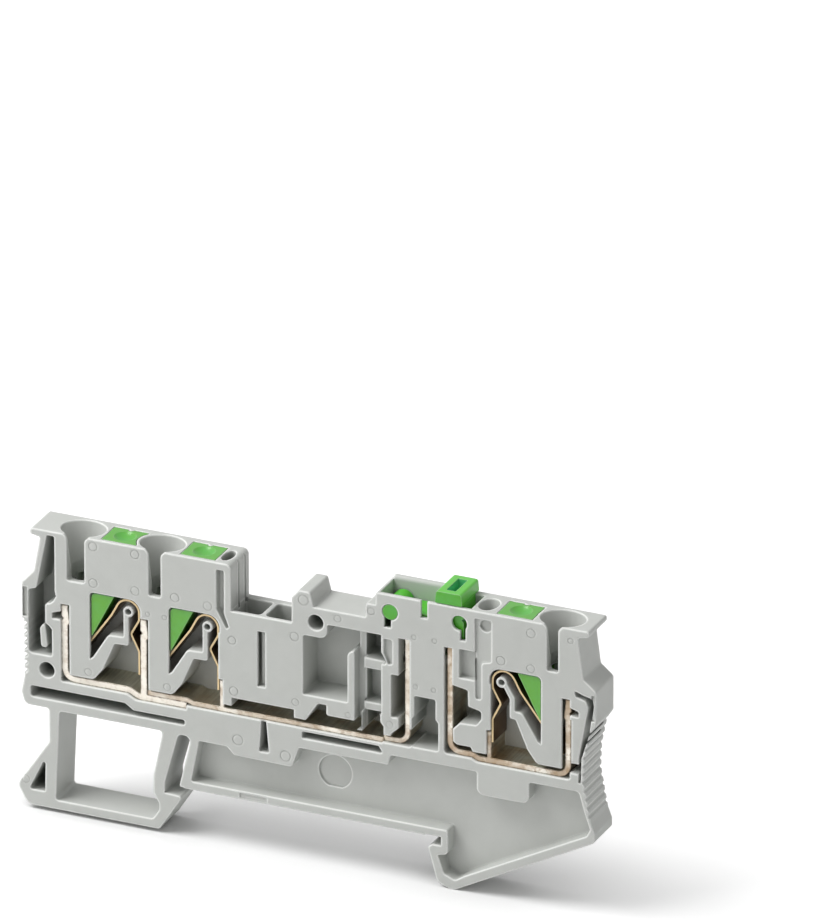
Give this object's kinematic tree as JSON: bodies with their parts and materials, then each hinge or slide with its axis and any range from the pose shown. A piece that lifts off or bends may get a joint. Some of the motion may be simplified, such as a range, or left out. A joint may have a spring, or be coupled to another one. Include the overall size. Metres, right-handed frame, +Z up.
{
  "type": "knife-disconnect terminal block",
  "caption": "Slim rail-mounted terminal block with push-in clamps, release buttons and a green knife-disconnect lever.",
  "frame": {"origin": "middle of the seat that lies on the rail's flanges, halfway across the block's narrow width", "axes": "+X along the block's length towards the disconnect lever, +Y across the narrow width away from the open side, +Z up from the rail"},
  "size_m": [0.0738, 0.0052, 0.0379],
  "materials": {
    "housing_grey": "matt moulded polyamide",
    "release_green": "satin moulded",
    "copper": "stamped, bare edges",
    "tinned_copper": "tin-plated, satin",
    "spring_steel": "tempered strip",
    "knife_metal": "silver-plated, satin"
  },
  "bodies": {
    "body": {"housing": "housing_grey", "left_current_bar": "copper", "centre_current_bar": "tinned_copper", "left_fork_contact": "copper", "right_current_bar": "copper", "clamp_spring_1": "spring_steel", "clamp_spring_2": "spring_steel", "clamp_spring_3": "spring_steel"},
    "lever": {"disconnect_lever": "release_green", "knife_blade": "knife_metal"},
    "button_1": {"push_button_1": "release_green"},
    "button_2": {"push_button_2": "release_green"},
    "button_3": {"push_button_3": "release_green"}
  },
  "joints": [
    {"name": "lever_hinge", "type": "hinge", "parent": "body", "child": "lever", "pos_m": [0.01115, 0, 0.0277], "axis": [0, -1, 0], "range_deg": [0, 110]},
    {"name": "button_1_press", "type": "slide", "parent": "body", "child": "button_1", "axis": [0, 0, -1], "range_m": [0, 0.0015], "stiffness_N_per_m": 2000, "springref_m": -0.001, "deforming": ["clamp_spring_1"]},
    {"name": "button_2_press", "type": "slide", "parent": "body", "child": "button_2", "axis": [0, 0, -1], "range_m": [0, 0.0015], "stiffness_N_per_m": 2000, "springref_m": -0.001, "deforming": ["clamp_spring_2"]},
    {"name": "button_3_press", "type": "slide", "parent": "body", "child": "button_3", "axis": [0, 0, -1], "range_m": [0, 0.0015], "stiffness_N_per_m": 2000, "springref_m": -0.001, "deforming": ["clamp_spring_3"]}
  ]
}
